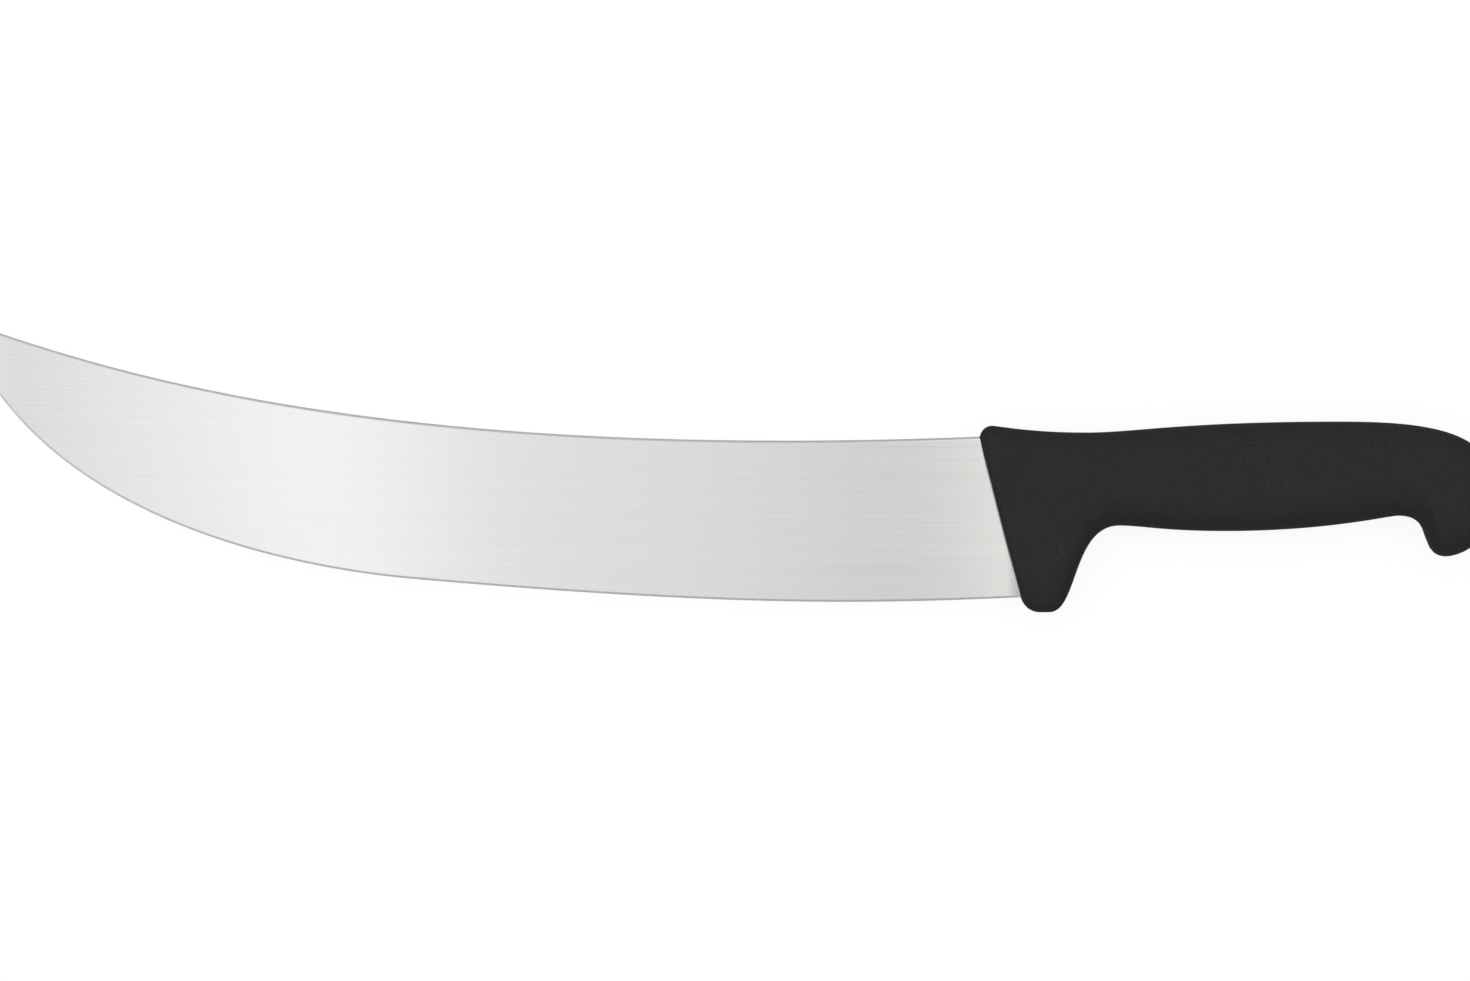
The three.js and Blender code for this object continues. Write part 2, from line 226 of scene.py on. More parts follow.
def soft_studio_dome():
    """The world: a plain dome of soft light."""
    world = bpy.data.worlds.new("soft_studio_dome")
    tree = empty_tree(world)
    direction = add_node(tree, "ShaderNodeTexCoord").outputs["Generated"]
    parts = add_node(tree, "ShaderNodeSeparateXYZ", {"Vector": direction}).outputs
    light = dome_height(tree, parts["Z"])
    across = add_math(tree, "MULTIPLY_ADD", parts["Y"], BAND_LEAN, parts["X"])
    for layer in (dome_panels(tree, across), dome_depth(tree, parts["Y"])):
        product = add_node(tree, "ShaderNodeVectorMath", {0: light, 1: layer}, operation="MULTIPLY")
        light = product.outputs[0]
    sky = add_node(tree, "ShaderNodeBackground", {"Color": light, "Strength": DOME_STRENGTH})
    add_node(tree, "ShaderNodeOutputWorld", {"Surface": sky.outputs[0]})
    return world


scene.world = soft_studio_dome()
print("World:", scene.world.name)

# %% [markdown]
# ## The white of the floor
# The photograph's background is pure white. A white floor under a lamp never renders quite white, so the
# floor gives off most of its white towards the camera and towards what mirrors it, and keeps a small
# share of plain diffuse white, on which the knife's shadow falls. For bounced light it is a duller grey.
# High up on the wall round it, where the camera doesn't look, soft grey panels break the white, because
# a blade that mirrors nothing but white looks like paper.

# %% White floor, grey panels
WALL_HEIGHT = 6.5
WHITE_HEIGHT = 1.2  # the wall is plain white up to here
WALL_PANELS = 22  # grey panels round the upper wall
PANEL_SHADE = 0.60  # how much of the white they take at the top
FLOOR_COLOUR = grey(0.30)
FLOOR_GLOW = 0.895
SHADOW_SHARE = 0.16


def wall_glow(tree):
    """White on the floor and the lower wall, then soft grey panels that deepen towards the top."""
    spot = add_node(tree, "ShaderNodeTexCoord").outputs["Object"]
    height = add_node(tree, "ShaderNodeSeparateXYZ", {"Vector": spot}).outputs["Z"]
    deepening = add_node(tree, "ShaderNodeMapRange", {
        "Value": height,
        "From Min": WHITE_HEIGHT,
        "From Max": WALL_HEIGHT,
        "To Max": PANEL_SHADE,
    })
    around = add_node(tree, "ShaderNodeTexGradient", {"Vector": spot}, gradient_type="RADIAL")
    half_panels = add_math(tree, "MULTIPLY", around.outputs["Fac"], 2 * WALL_PANELS)
    panel = add_math(tree, "PINGPONG", half_panels, 1.0)
    shade = add_math(tree, "MULTIPLY", deepening.outputs[0], panel)
    return add_math(tree, "MULTIPLY_ADD", shade, -FLOOR_GLOW, FLOOR_GLOW)


def white_floor():
    """White for the camera and for reflections, with a share that takes the shadow."""
    material, tree = new_material("white_floor")
    path = add_node(tree, "ShaderNodeLightPath").outputs
    mirrored = add_math(tree, "MAXIMUM", path["Is Glossy Ray"], path["Is Transmission Ray"])
    seen = add_math(tree, "MAXIMUM", path["Is Camera Ray"], mirrored)
    plain = add_node(tree, "ShaderNodeBsdfDiffuse", {"Color": FLOOR_COLOUR})
    shaded = add_node(tree, "ShaderNodeBsdfDiffuse", {"Color": grey(SHADOW_SHARE)})
    glow = add_node(tree, "ShaderNodeEmission", {"Color": grey(1.0), "Strength": wall_glow(tree)})
    white = add_node(tree, "ShaderNodeAddShader", {0: shaded.outputs[0], 1: glow.outputs[0]})
    surface = add_node(tree, "ShaderNodeMixShader", {0: seen, 1: plain.outputs[0], 2: white.outputs[0]})
    add_node(tree, "ShaderNodeOutputMaterial", {"Surface": surface.outputs[0]})
    return material


floor_white = white_floor()
print("Material:", floor_white.name)

# %% [markdown]
# ## A cove
# A studio's cove is a floor that runs into its walls in a round sweep, so no line shows behind the thing
# on it. Here it is a disc, its rim drawn up into a wall, and a broad bevel between the two. The wall is
# tall, so that the steel also mirrors white when it is seen from the side.

# %% A round white cove
import bmesh

FLOOR_RADIUS = 10.0
COVE_RADIUS = 3.5
COVE_SEGMENTS = 96
COVE_STEPS = 8


def new_object(name, bm, *materials):
    """Turns a finished bmesh into an object at the origin."""
    mesh = bpy.data.meshes.new(name)
    bm.to_mesh(mesh)
    bm.free()
    for material in materials:
        mesh.materials.append(material)
    made = bpy.data.objects.new(name, mesh)
    scene.collection.objects.link(made)
    return made


def make_cove():
    """A disc whose rim is drawn up into a wall, with a rounded corner between them."""
    bm = bmesh.new()
    bmesh.ops.create_circle(bm, cap_ends=True, segments=COVE_SEGMENTS, radius=FLOOR_RADIUS)
    rim = list(bm.edges)
    wall = bmesh.ops.extrude_edge_only(bm, edges=rim)["geom"]
    top = [item for item in wall if isinstance(item, bmesh.types.BMVert)]
    bmesh.ops.translate(bm, verts=top, vec=(0, 0, WALL_HEIGHT))
    bmesh.ops.bevel(bm, geom=rim, offset=COVE_RADIUS, segments=COVE_STEPS, profile=0.5, material=-1,
                    affect="EDGES")
    for face in bm.faces:
        face.smooth = True
    bm.normal_update()
    return new_object("white_cove", bm, floor_white)


cove = make_cove()
print("Cove:", len(cove.data.polygons), "faces")

# %% [markdown]
# ## Two long curves make the blade
# The spine is one hollow curve. The cutting edge is a round upsweep that runs into a nearly straight
# heel. Both are drawn as cubic curves from a few measured points: a traced outline would carry every
# wobble of the photograph into the steel, and a curve through its few real turns doesn't.

# %% Spine and cutting edge
import math
from mathutils.geometry import interpolate_bezier

CURVE_STEPS = 64
FACE_LEAN = math.tan(math.radians(14.6))  # the handle's front face leans back towards the guard
HEEL_HEIGHT = 46.9
BELLY_DROP = 41.5
BELLY_SHARE = 0.557
BELLY_SLOPE = 0.088
HEEL_SLOPE = 0.047
SPINE_TIP_SLOPE = 0.341
SPINE_HEEL_SLOPE = 0.04

# How far along its run each curve holds to its slopes at the start and at the end
SPINE_LEAVE, SPINE_ARRIVE = 0.127, 0.613
UPSWEEP_ALONG, UPSWEEP_DOWN, UPSWEEP_ARRIVE = 0.16, 0.789, 0.231
HEEL_LEAVE, HEEL_ARRIVE = 0.506, 0.263


def curve(start, leave, arrive, end):
    """A cubic curve between two points, drawn towards two more."""
    return interpolate_bezier(start, leave, arrive, end, CURVE_STEPS)


def face_x(y):
    """Where the handle's front face is at a height."""
    return -FACE_LEAN * y


tip = Vector((-BLADE_LENGTH, TIP_RISE))
belly = Vector((-BELLY_SHARE * BLADE_LENGTH, -BELLY_DROP))
heel = Vector((face_x(-HEEL_HEIGHT), -HEEL_HEIGHT))
spine_heel = Vector((0.0, 0.0))
sweep = belly - tip
heel_run = heel.x - belly.x

spine_line = curve(
    tip,
    tip + Vector((1, -SPINE_TIP_SLOPE)) * SPINE_LEAVE * BLADE_LENGTH,
    spine_heel - Vector((1, SPINE_HEEL_SLOPE)) * SPINE_ARRIVE * BLADE_LENGTH,
    spine_heel,
)
upsweep = curve(
    tip,
    tip + Vector((UPSWEEP_ALONG * sweep.x, UPSWEEP_DOWN * sweep.y)),
    belly - Vector((1, -BELLY_SLOPE)) * UPSWEEP_ARRIVE * sweep.x,
    belly,
)
heel_line = curve(
    belly,
    belly + Vector((1, -BELLY_SLOPE)) * HEEL_LEAVE * heel_run,
    heel - Vector((1, HEEL_SLOPE)) * HEEL_ARRIVE * heel_run,
    heel,
)
edge_line = upsweep + heel_line[1:]


def line_length(line):
    """Length of a line of points."""
    return sum((after - before).length for before, after in zip(line, line[1:]))


print("Spine:", round(line_length(spine_line), 1), "mm, edge:", round(line_length(edge_line), 1), "mm")

# %% [markdown]
# ## Sections of the blade
# A slice across the blade is a thin wedge: a sharpened bevel at the edge, a flat flank, and a spine with
# softened corners. The wedge is thickest at the handle and thins towards the tip. Half a slice is
# written as pairs of rise above the edge and half the thickness there, and the other half mirrors it.
# Close to the tip a slice gets so low that its bevel and its corners have to shrink with it.

# %% Half a slice
SPINE_THICKNESS = 2.6
TIP_THICKNESS = 0.9
TIP_POINTING = 0.25  # half thickness per height, where the last of the tip comes to a point
EDGE_THICKNESS = 0.45
EDGE_FLAT = 0.05
BEVEL_HEIGHT = 0.6
SPINE_SOFTENING = 0.7  # height of the rounded corners of the spine
ROUND_STEPS = 4
FLANK_SHARES = (1 / 3, 2 / 3, 0.995)  # the last one holds the flank flat up to the spine's corner
MOST_SOFTENING, MOST_BEVEL = 1 / 4, 1 / 3  # of a slice's height
MOST_SHOULDER, MOST_CORNER = 0.5, 0.6  # of half its thickness


def rounded_top(height, half, tall, deep):
    """The corner between a flank and the top of a slice, a quarter of an ellipse."""
    turns = [step / ROUND_STEPS * math.pi / 2 for step in range(ROUND_STEPS + 1)]
    return [(height - tall * (1 - math.sin(turn)), half - deep * (1 - math.cos(turn))) for turn in turns]


def blade_slice(height, share):
    """Bevel, flank and rounded spine at a share of the way from the tip to the handle."""
    taper = TIP_THICKNESS + (SPINE_THICKNESS - TIP_THICKNESS) * share
    half = min(taper / 2, TIP_POINTING * height)
    softening = min(SPINE_SOFTENING, MOST_SOFTENING * height)
    corner = min(SPINE_SOFTENING, MOST_CORNER * half)
    bevel = min(BEVEL_HEIGHT, MOST_BEVEL * height)
    shoulder = min(EDGE_THICKNESS / 2, MOST_SHOULDER * half)
    top = height - softening
    edge = [(0.0, min(EDGE_FLAT, shoulder) / 2), (bevel, shoulder)]
    flank = [(bevel + part * (top - bevel), shoulder + part * (half - shoulder)) for part in FLANK_SHARES]
    return edge + flank + rounded_top(height, half, softening, corner)


def whole_slice(foot, head, half_slice):
    """Both sides of a slice that stands on one point of the drawing and reaches up to another."""
    up = (head - foot).normalized()
    near = [(foot + up * rise, half) for rise, half in half_slice]
    far = [(spot, -half) for spot, half in reversed(near)]
    return [place(spot.x, spot.y, z) for spot, z in near + far]


print("Corners in a slice:", 2 * len(blade_slice(HEEL_HEIGHT, 1.0)))

# %% [markdown]
# ## Loops that grow by extrusion
# Blade, tang and handle are all long forms whose slice changes little by little. One loop of edges is
# extruded again and again, and each new loop takes the shape of the next slice. Every corner then runs
# on as an unbroken line of edges from end to end, which keeps the shading smooth.


# %% Helpers for loops
def shape_loop(loop, points):
    """Moves a loop's corners onto the points of a slice."""
    for corner, spot in zip(loop, points):
        corner.co = spot


def start_loop(bm, points):
    """A circle with as many corners as the slice has, drawn into its shape."""
    loop = bmesh.ops.create_circle(bm, segments=len(points), radius=MM)["verts"]
    shape_loop(loop, points)
    return loop


def loop_edges(bm, loop):
    """The edges round a loop of corners."""
    return [bm.edges.get(pair) for pair in zip(loop, loop[1:] + loop[:1])]


def partner(corner, fresh):
    """The fresh corner that an edge joins to this one."""
    beside = [edge.other_vert(corner) for edge in corner.link_edges]
    return next(other for other in beside if other in fresh)


def extrude_loop(bm, loop, points):
    """Extrudes a loop and shapes the new one as the next slice."""
    made = bmesh.ops.extrude_edge_only(bm, edges=loop_edges(bm, loop))["geom"]
    fresh = {item for item in made if isinstance(item, bmesh.types.BMVert)}
    following = [partner(corner, fresh) for corner in loop]
    shape_loop(following, points)
    return following


def grow_loops(bm, slices):
    """A skin through a row of slices, as the list of its loops."""
    loops = [start_loop(bm, slices[0])]
    for points in slices[1:]:
        loops.append(extrude_loop(bm, loops[-1], points))
    return loops


def close_on_point(bm, loop, spot):
    """Draws an end loop together in one point."""
    bmesh.ops.pointmerge(bm, verts=loop, merge_co=spot)


print("Loop helpers ready")

# %% [markdown]
# ## Slices from the tip to the handle
# A slice joins the points at the same share of the spine and of the cutting edge, so the slices fan out
# round the upsweep. They crowd together towards the tip, where the outline turns fastest.

# %% The ground blade
BLADE_STATIONS = 140
TIP_CROWDING = 1.6
BLADE_EMBED = 7.0  # full-height steel behind the handle's front face


def point_along(line, share):
    """The point at a share of a line's length."""
    left = share * line_length(line)
    for before, after in zip(line, line[1:]):
        step = (after - before).length
        if left <= step:
            return before.lerp(after, left / step)
        left -= step
    return line[-1]


def blade_station(share, shift=0.0):
    """One slice of the blade, moved along by a shift."""
    head = point_along(spine_line, share)
    foot = point_along(edge_line, share)
    along = Vector((shift, 0))
    return whole_slice(foot + along, head + along, blade_slice((head - foot).length, share))


shares = [(step / BLADE_STATIONS) ** TIP_CROWDING for step in range(1, BLADE_STATIONS + 1)]
blade_slices = [blade_station(share) for share in shares]
blade_slices.append(blade_station(1.0, BLADE_EMBED))
print("Blade slices:", len(blade_slices))

# %% [markdown]
# ## The tang
# Behind the handle's front face the blade steps down to a narrower tang, with a small fillet in each
# corner, because a sharp inside corner is where steel cracks. The core grips it through three holes.
# The tang goes on with the same loops. Its slices lean with the front face at the fillets, and stand
# upright from the first hole on.

# %% A slice of the tang
TANG_HEIGHT = 16.0
TANG_MIDDLE = -12.4
TANG_CORNER = 0.3
CORNER_HOLD = 1.5  # the line that holds the flank flat runs this many corners below the top
HOLE_ROOM = 9.0  # side of the square that a hole is cut from
MOST_ROOM = 0.6  # of a slice's height


def tang_slice(height):
    """A plain bar with softened corners, and two lines along it that bound the holes."""
    half = SPINE_THICKNESS / 2
    corner = min(TANG_CORNER, MOST_SOFTENING * height)
    room = min(HOLE_ROOM, MOST_ROOM * height)
    rises = [(height - room) / 2, (height + room) / 2, height - CORNER_HOLD * corner]
    flank = [(rise, half) for rise in rises]
    return [(0.0, half - corner), (corner, half)] + flank + rounded_top(height, half, corner, corner)


def tang_station(x, height, lean=0.0):
    """One slice of the tang. Its plane stands upright, or leans as the front face does."""
    low, high = TANG_MIDDLE - height / 2, TANG_MIDDLE + height / 2
    foot = Vector((x - lean * low, low))
    head = Vector((x - lean * high, high))
    return whole_slice(foot, head, tang_slice((head - foot).length))


print("Corners in a slice of the tang:", 2 * len(tang_slice(TANG_HEIGHT)))

# %% Slices of the tang
TANG_END = 113.0
TANG_FILLET = 3.0
FILLET_STEPS = 4
END_STEPS = 8
HOLE_COUNT = 3

shoulder_x = BLADE_EMBED + face_x(TANG_MIDDLE)
hole_spacing = (TANG_END - shoulder_x) / HOLE_COUNT
hole_places = [shoulder_x + hole_spacing * (hole + 0.5) for hole in range(HOLE_COUNT)]


def fillet_slice(part):
    """A slice part of the way down the step from the blade to the tang."""
    height = TANG_HEIGHT + 2 * TANG_FILLET * (1 - part) ** 2
    return tang_station(BLADE_EMBED + TANG_FILLET * part ** 2, height, FACE_LEAN)


def end_slice(part):
    """A slice part of the way round the rounded end of the tang."""
    turn = part * math.pi / 2
    return tang_station(TANG_END - TANG_HEIGHT / 2 * (1 - math.sin(turn)), TANG_HEIGHT * math.cos(turn))


tang_slices = [fillet_slice(step / FILLET_STEPS) for step in range(FILLET_STEPS + 1)]
first_hole_slice = len(blade_slices) + len(tang_slices)
for x in hole_places:
    tang_slices.append(tang_station(x - HOLE_ROOM / 2, TANG_HEIGHT))
    tang_slices.append(tang_station(x + HOLE_ROOM / 2, TANG_HEIGHT))
tang_slices += [end_slice(step / END_STEPS) for step in range(END_STEPS)]
print("Tang slices:", len(tang_slices), "holes at", [round(x, 1) for x in hole_places])

# %% [markdown]
# ## The steel in one chain
# All slices are drawn, so one chain of loops grows through them, from the tip to the end of the tang,
# and a face closes the last loop. The tip's own point comes later, because the finish is given to whole
# loops first.


# %% Grow blade and tang
def face_between(bm, before, after, corner):
    """The face between two loops that starts at this corner of them."""
    beside = (corner + 1) % len(before)
    return bm.faces.get((before[corner], before[beside], after[beside], after[corner]))


blade_bm = bmesh.new()
blade_loops = grow_loops(blade_bm, blade_slices + tang_slices)
bmesh.ops.contextual_create(blade_bm, geom=loop_edges(blade_bm, blade_loops[-1]))
print("Blade faces:", len(blade_bm.faces))

# %% [markdown]
# ## Which steel goes where
# The flanks are brushed along the blade, the bevel is ground across the edge, and the spine is left as it
# was rolled and blanked. These are one piece of steel with three finishes, so the faces get three
# material slots. The line where the bevel meets the flank is kept crisp.

# %% Finish zones
FLANK, BEVEL, SPINE = range(3)
BEVEL_TOP = 1  # the corner of a slice, counted up from its edge, where the bevel meets the flank


def zone_of(corner, count):
    """The finish of the face that starts at this corner of a slice."""
    rungs = [min(rung, count - 1 - rung) for rung in (corner, (corner + 1) % count)]
    if max(rungs) <= BEVEL_TOP:
        return BEVEL
    return SPINE if min(rungs) >= count // 2 - 1 - ROUND_STEPS else FLANK


def mark_zones(bm, loops):
    """Gives bevel and spine their slots, and marks the line between bevel and flank."""
    count = len(loops[0])
    for before, after in zip(loops, loops[1:]):
        for corner in range(count):
            face_between(bm, before, after, corner).material_index = zone_of(corner, count)
        for corner in (BEVEL_TOP, count - 1 - BEVEL_TOP):
            bm.edges.get((before[corner], after[corner])).smooth = False


mark_zones(blade_bm, blade_loops[:BLADE_STATIONS])
print("Bevel faces:", sum(face.material_index == BEVEL for face in blade_bm.faces))

# %% [markdown]
# ## Holes without a boolean
# A hole can be cut by a boolean, but that leaves slivers. Here the square on each face of the tang is
# inset, its edges are divided, and their corners move onto a circle. The two round faces are then
# deleted and the two rims bridged, which leaves the wall of the hole. All squares are looked up before
# the first cut, because the operators renew the corners that the loops hold.

# %% Drill the tang
HOLE_DIAMETER = 7.0
HOLE_INSET = 0.5
HOLE_CUTS = 5
HOLE_CORNER = 2  # the corner of a slice where a hole's square begins


def round_face(bm, face, middle, radius):
    """Draws a new round face inside a square one, and gives its rim."""
    bmesh.ops.inset_individual(bm, faces=[face], thickness=HOLE_INSET * MM)
    bmesh.ops.subdivide_edges(bm, edges=list(face.edges), cuts=HOLE_CUTS)
    for corner in face.verts:
        spoke = Vector((corner.co.x - middle.x, corner.co.y - middle.y, 0)).normalized()
        corner.co = Vector((middle.x, middle.y, corner.co.z)) + spoke * radius
    return list(face.edges)


def hole_squares(bm, before, after):
    """The faces on both sides of the tang that a hole is cut from."""
    far_corner = len(before) - 2 - HOLE_CORNER
    return [face_between(bm, before, after, corner) for corner in (HOLE_CORNER, far_corner)]


def drill(bm, squares, x):
    """A round hole through both squares."""
    middle = place(x, TANG_MIDDLE)
    rims = [round_face(bm, square, middle, HOLE_DIAMETER / 2 * MM) for square in squares]
    bmesh.ops.delete(bm, geom=squares, context="FACES_ONLY")
    bmesh.ops.bridge_loops(bm, edges=rims[0] + rims[1])


hole_loops = blade_loops[first_hole_slice:first_hole_slice + 2 * HOLE_COUNT]
all_squares = [hole_squares(blade_bm, *pair) for pair in zip(hole_loops[::2], hole_loops[1::2])]
close_on_point(blade_bm, blade_loops[0], place(tip.x, tip.y))
for squares, x in zip(all_squares, hole_places):
    drill(blade_bm, squares, x)
print("Faces with the holes:", len(blade_bm.faces))

# %% [markdown]
# ## Smooth faces and a map for the brushing
# The steel is shaded smooth, but for the edges where two faces meet at an angle. A flat map, laid on
# the side of the blade, tells the shader which way the brushing draws a reflection out. It leans by as
# much as the panels of light do, so the bands on the blade stay clear and lean too.

# %% Shading and map
SHARP_TURN = math.radians(25)


def smooth_but_for_edges(bm):
    """Smooth shading, broken where two faces meet at an angle."""
    for face in bm.faces:
        face.smooth = True
    for edge in bm.edges:
        if edge.calc_face_angle() > SHARP_TURN:
            edge.smooth = False


def map_brushing(bm):
    """A flat map over the side of the blade."""
    brushing = bm.loops.layers.uv.new("brushing")
    for face in bm.faces:
        for corner in face.loops:
            spot = corner.vert.co
            corner[brushing].uv = (spot.y, spot.x + BAND_LEAN * spot.y)


bmesh.ops.recalc_face_normals(blade_bm, faces=blade_bm.faces)
smooth_but_for_edges(blade_bm)
map_brushing(blade_bm)
print("Sharp edges:", sum(not edge.smooth for edge in blade_bm.edges))

# %% [markdown]
# ## Helpers for finishes
# Every finish on the knife is made the same way: a noise at the real scale of its marks, drawn out along
# the blade or not, steers the tone, the roughness and the bump. A noise is given by its lumps to the
# metre along X and across it, and by its octaves of finer detail.

# %% Noise, tone and surface
NOISE_LOW, NOISE_HIGH = 0.3, 0.7  # most of a noise lies between these
NOISE_ROUGHNESS = 0.6


def stretched_noise(tree, along, across, detail):
    """Noise with so many lumps to the metre along X, and so many across it."""
    spot = add_node(tree, "ShaderNodeTexCoord").outputs["Object"]
    stretched = add_node(tree, "ShaderNodeMapping", {"Vector": spot, "Scale": (along, across, across)})
    noise = add_node(tree, "ShaderNodeTexNoise", {
        "Vector": stretched.outputs[0],
        "Scale": 1.0,
        "Detail": detail,
        "Roughness": NOISE_ROUGHNESS,
    })
    return noise.outputs[0]


def mixed(tree, share, first, second):
    """Two noises in one, with a share of the second."""
    return add_node(tree, "ShaderNodeMix", {0: share, 2: first, 3: second}).outputs[0]


def between(tree, noise, low, high):
    """The middle of a noise, spread over a range."""
    made = add_node(tree, "ShaderNodeMapRange", {
        "Value": noise,
        "From Min": NOISE_LOW,
        "From Max": NOISE_HIGH,
        "To Min": low,
        "To Max": high,
    })
    return made.outputs[0]


def toned(tree, noise, dark, pale):
    """The middle of a noise, spread over two neutral tones."""
    return add_ramp(tree, noise, [(NOISE_LOW, dark), (NOISE_HIGH, pale)])


def bumped(tree, noise, strength, depth):
    """The surface's direction, roughened by a noise of a depth in millimetres."""
    made = add_node(tree, "ShaderNodeBump", {
        "Height": noise,
        "Strength": strength,
        "Distance": depth * MM,
    })
    return made.outputs[0]


def give_surface(tree, inputs):
    """Ends a material's tree in a shader with these inputs."""
    shader = add_node(tree, "ShaderNodeBsdfPrincipled", inputs)
    add_node(tree, "ShaderNodeOutputMaterial", {"Surface": shader.outputs[0]})


print("Finish helpers ready")

# %% [markdown]
# ## Brushed steel
# A belt drawn along the blade leaves fine parallel lines. They spread a reflection across their run and
# keep it narrow along it, which is why a brushed blade shows upright bands of light. Three noises
# stretched along X draw streaks, lines and hairs, in the tone, the roughness and the bump. The shader's
# anisotropy does the rest.

# %% Brushed flank steel
STREAKS = (4.0, 800.0, 1.0)
LINES = (14.0, 1900.0, 1.0)
HAIRS = (40.0, 6500.0, 2.0)
LINE_SHARE = 0.7  # of lines, against streaks
HAIR_SHARE = 0.5  # of hairs, against both
FLANK_TONES = (grey(0.61, 0.002), grey(0.66, 0.002))
FLANK_ROUGHNESS = (0.18, 0.20)
BRUSHING = 0.9
STEEL_BUMP = 0.2
HAIR_DEPTH = 0.01


def brushed_flank_steel():
    """Steel brushed along the blade."""
    material, tree = new_material("brushed_flank_steel")
    streaks = stretched_noise(tree, *STREAKS)
    lines = stretched_noise(tree, *LINES)
    hairs = stretched_noise(tree, *HAIRS)
    all_marks = mixed(tree, HAIR_SHARE, mixed(tree, LINE_SHARE, streaks, lines), hairs)
    tangent = add_node(tree, "ShaderNodeTangent", direction_type="UV_MAP", uv_map="brushing")
    give_surface(tree, {
        "Base Color": toned(tree, all_marks, *FLANK_TONES),
        "Metallic": 1.0,
        "Roughness": between(tree, lines, *FLANK_ROUGHNESS),
        "Anisotropic": BRUSHING,
        "Tangent": tangent.outputs[0],
        "Normal": bumped(tree, hairs, STEEL_BUMP, HAIR_DEPTH),
    })
    return material


flank_steel = brushed_flank_steel()
print("Material:", flank_steel.name)

# %% [markdown]
# ## Ground edge and rolled spine
# The sharpening stone runs across the edge, so its scratches stand at right angles to it and the bevel
# looks duller than the flank. The spine keeps the dull skin of the rolled sheet, with a faint mottle.

# %% Bevel and spine steel
SCRATCHES = (5200.0, 60.0, 2.0)
BEVEL_TONES = (grey(0.57), grey(0.68))
BEVEL_ROUGHNESS = (0.34, 0.46)
SCRATCH_DEPTH = 0.02
ROLLED_MOTTLE = (160.0, 1400.0, 4.0)
SPINE_TONES = (grey(0.40), grey(0.52))
SPINE_ROUGHNESS = (0.36, 0.50)
MOTTLE_DEPTH = 0.03


def dull_steel(name, marks, tones, roughness, depth):
    """Steel without brushing, marked by one noise."""
    material, tree = new_material(name)
    noise = stretched_noise(tree, *marks)
    give_surface(tree, {
        "Base Color": toned(tree, noise, *tones),
        "Metallic": 1.0,
        "Roughness": between(tree, noise, *roughness),
        "Normal": bumped(tree, noise, STEEL_BUMP, depth),
    })
    return material


bevel_steel = dull_steel("ground_bevel_steel", SCRATCHES, BEVEL_TONES, BEVEL_ROUGHNESS, SCRATCH_DEPTH)
spine_steel = dull_steel("rolled_spine_steel", ROLLED_MOTTLE, SPINE_TONES, SPINE_ROUGHNESS, MOTTLE_DEPTH)

blade = new_object("steel_blade", blade_bm, flank_steel, bevel_steel, spine_steel)
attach(blade, "root")
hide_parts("blade")
print("Blade:", len(blade.data.polygons), "faces")

# %% [markdown]
# ## The handle's outlines
# The handle is drawn by three outlines: its back, its underside with guard, finger groove, palm and
# hooked butt, and half its width seen from above. Each runs through its high and low points and is
# level there, so one helper that draws a curve between two level points makes nearly all of it.

# %% Helpers for the outlines
CORNER_STEPS = 24
HANDLE_LENGTH = 151.0
BUTT_DROP = 16.5


def arc(centre, wide, high, start, end):
    """Points round part of an ellipse, between two angles."""
    turns = [start + (end - start) * step / CORNER_STEPS for step in range(CORNER_STEPS + 1)]
    return [Vector((centre[0] + wide * math.cos(turn), centre[1] + high * math.sin(turn)))
            for turn in turns]


def level_curve(path, x, y, hold):
    """Runs a path on to a point. Shares of the run hold it level at both ends."""
    leave, arrive = hold
    start = path[-1]
    run = x - start.x
    leaving = start + Vector((leave * run, 0))
    arriving = Vector((x - arrive * run, y))
    path += curve(start, leaving, arriving, Vector((x, y)))[1:]


def butt_curve(path, hold):
    """Runs a path on to the rearmost point of the butt, where it stands upright."""
    leave, arrive = hold
    start = path[-1]
    butt = Vector((HANDLE_LENGTH, -BUTT_DROP))
    leaving = start + Vector((leave * (butt.x - start.x), 0))
    arriving = butt + Vector((0, arrive * (start.y - butt.y)))
    path += curve(start, leaving, arriving, butt)[1:]


def face_corner(level, radius, turn_end):
    """The rounded corner between the leaning front face and a level line."""
    y = level - math.copysign(radius, math.sin(turn_end))
    x = face_x(y) + radius * math.hypot(1, FACE_LEAN)
    return arc((x, y), radius, radius, math.pi + math.atan(FACE_LEAN), turn_end)


print("Outline helpers ready")

# %% [markdown]
# ## Back, underside and width
# The places of the high and low points, and the shares of each run that stay level, were measured on the
# photograph. The butt is cut off by the photograph's frame, so its last few millimetres follow the curves
# that lead into it. The width doesn't show in a side view, and is that of a handle that fits the hand.

# %% The back
CREST_RISE, CREST_RADIUS = 3.2, 3.6
SADDLE_AT, SADDLE_RISE = 31.3, 1.2
BACK_AT, BACK_RISE = HANDLE_LENGTH - 46.0, 4.4
CREST_TO_SADDLE = (0.05, 0.6)
SADDLE_TO_BACK = (0.19, 0.62)
BACK_TO_BUTT = (0.55, 0.9)

back_line = face_corner(CREST_RISE, CREST_RADIUS, math.pi / 2)
level_curve(back_line, SADDLE_AT, SADDLE_RISE, CREST_TO_SADDLE)
level_curve(back_line, BACK_AT, BACK_RISE, SADDLE_TO_BACK)
butt_curve(back_line, BACK_TO_BUTT)
print("Back:", round(line_length(back_line)), "mm")

